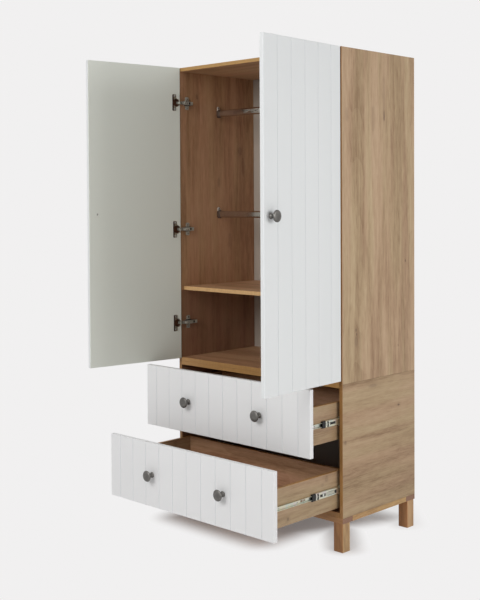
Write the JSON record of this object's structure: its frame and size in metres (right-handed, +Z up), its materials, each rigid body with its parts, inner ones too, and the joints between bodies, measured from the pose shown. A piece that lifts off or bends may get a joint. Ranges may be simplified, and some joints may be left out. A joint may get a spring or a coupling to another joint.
{
  "type": "wardrobe cupboard",
  "caption": "Tall oak effect cupboard with grooved white doors on concealed hinges, hanging rails, a shelf, grooved drawers on ball bearing runners, and square legs.",
  "frame": {"origin": "on the floor, in the plane of the carcass front and below the middle of the box that holds the cupboard at rest with its doors open; the carcass's own centre line is at X = 0.018 because the doors stand open unequally", "axes": "+Z up, +Y from the front towards the back, +X to the right seen from the front"},
  "size_m": [1.0427, 0.9186, 1.9],
  "materials": {
    "oak": "oak effect board, satin",
    "oak_dark": "darker oak effect, satin",
    "white_lacquer": "white painted board, satin",
    "white_back": "thin off-white sheet, matt",
    "chrome": "bright chrome",
    "pewter": "dark pewter, satin",
    "nickel": "nickel plated steel",
    "bronzed": "dark nickel, glossy",
    "zinc": "zinc plated steel"
  },
  "bodies": {
    "carcass": {"back_lower": "white_back", "back_upper": "white_back", "base_rail_back": "oak_dark", "base_rail_front": "oak_dark", "base_rail_left": "oak", "base_rail_right": "oak", "bottom_panel": "oak", "cabinet_member_lower_left": "zinc", "cabinet_member_lower_right": "zinc", "cabinet_member_upper_left": "zinc", "cabinet_member_upper_right": "zinc", "hanging_rail_lower": "chrome", "hanging_rail_upper": "chrome", "hinge_arm_left_bottom": "nickel", "hinge_arm_left_middle": "nickel", "hinge_arm_left_top": "nickel", "hinge_arm_right_bottom": "nickel", "hinge_arm_right_middle": "nickel", "hinge_arm_right_top": "nickel", "leg_back_left": "oak", "leg_back_right": "oak", "leg_front_left": "oak", "leg_front_right": "oak", "lower_top": "oak", "shelf": "oak", "side_lower_left": "oak", "side_lower_right": "oak", "side_upper_left": "oak", "side_upper_right": "oak", "top_panel": "oak", "upper_floor": "oak"},
    "left_door": {"door_left": "white_lacquer", "knob_door_left": "pewter", "hinge_cup_left_top": "bronzed", "hinge_cup_left_middle": "bronzed", "hinge_cup_left_bottom": "bronzed"},
    "right_door": {"door_right": "white_lacquer", "knob_door_right": "pewter", "hinge_cup_right_top": "bronzed", "hinge_cup_right_middle": "bronzed", "hinge_cup_right_bottom": "bronzed"},
    "upper_drawer": {"drawer_front_upper": "white_lacquer", "drawer_back_upper": "oak", "drawer_bottom_upper": "oak", "drawer_side_upper_left": "oak", "drawer_side_upper_right": "oak", "knob_upper_left": "pewter", "knob_upper_right": "pewter"},
    "upper_runners": {"middle_member_upper_left": "zinc", "middle_member_upper_right": "zinc"},
    "lower_drawer": {"drawer_front_lower": "white_lacquer", "drawer_back_lower": "oak", "drawer_bottom_lower": "oak", "drawer_side_lower_left": "oak", "drawer_side_lower_right": "oak", "knob_lower_left": "pewter", "knob_lower_right": "pewter"},
    "lower_runners": {"middle_member_lower_left": "zinc", "middle_member_lower_right": "zinc"}
  },
  "joints": [
    {"name": "left_door_hinge", "type": "hinge", "parent": "carcass", "child": "left_door", "pos_m": [-0.4217, -0.0126, 1.275], "axis": [0, 0, -1], "range_deg": [-98.6, 6.4]},
    {"name": "right_door_hinge", "type": "hinge", "parent": "carcass", "child": "right_door", "pos_m": [0.4577, -0.0126, 1.275], "axis": [0, 0, 1], "range_deg": [-92.9, 12.1]},
    {"name": "upper_drawer_slide", "type": "slide", "parent": "carcass", "child": "upper_drawer", "axis": [0, -1, 0], "range_m": [-0.1644, 0.2356]},
    {"name": "upper_runner_slide", "type": "slide", "parent": "carcass", "child": "upper_runners", "axis": [0, -1, 0], "range_m": [-0.09884, 0.14156]},
    {"name": "lower_drawer_slide", "type": "slide", "parent": "carcass", "child": "lower_drawer", "axis": [0, -1, 0], "range_m": [-0.3609, 0.0391]},
    {"name": "lower_runner_slide", "type": "slide", "parent": "carcass", "child": "lower_runners", "axis": [0, -1, 0], "range_m": [-0.15791, 0.01729]}
  ],
  "couplings": [
    {"joint": "upper_runner_slide", "follows": "upper_drawer_slide", "ratio": 0.6},
    {"joint": "lower_runner_slide", "follows": "lower_drawer_slide", "ratio": 0.437}
  ]
}
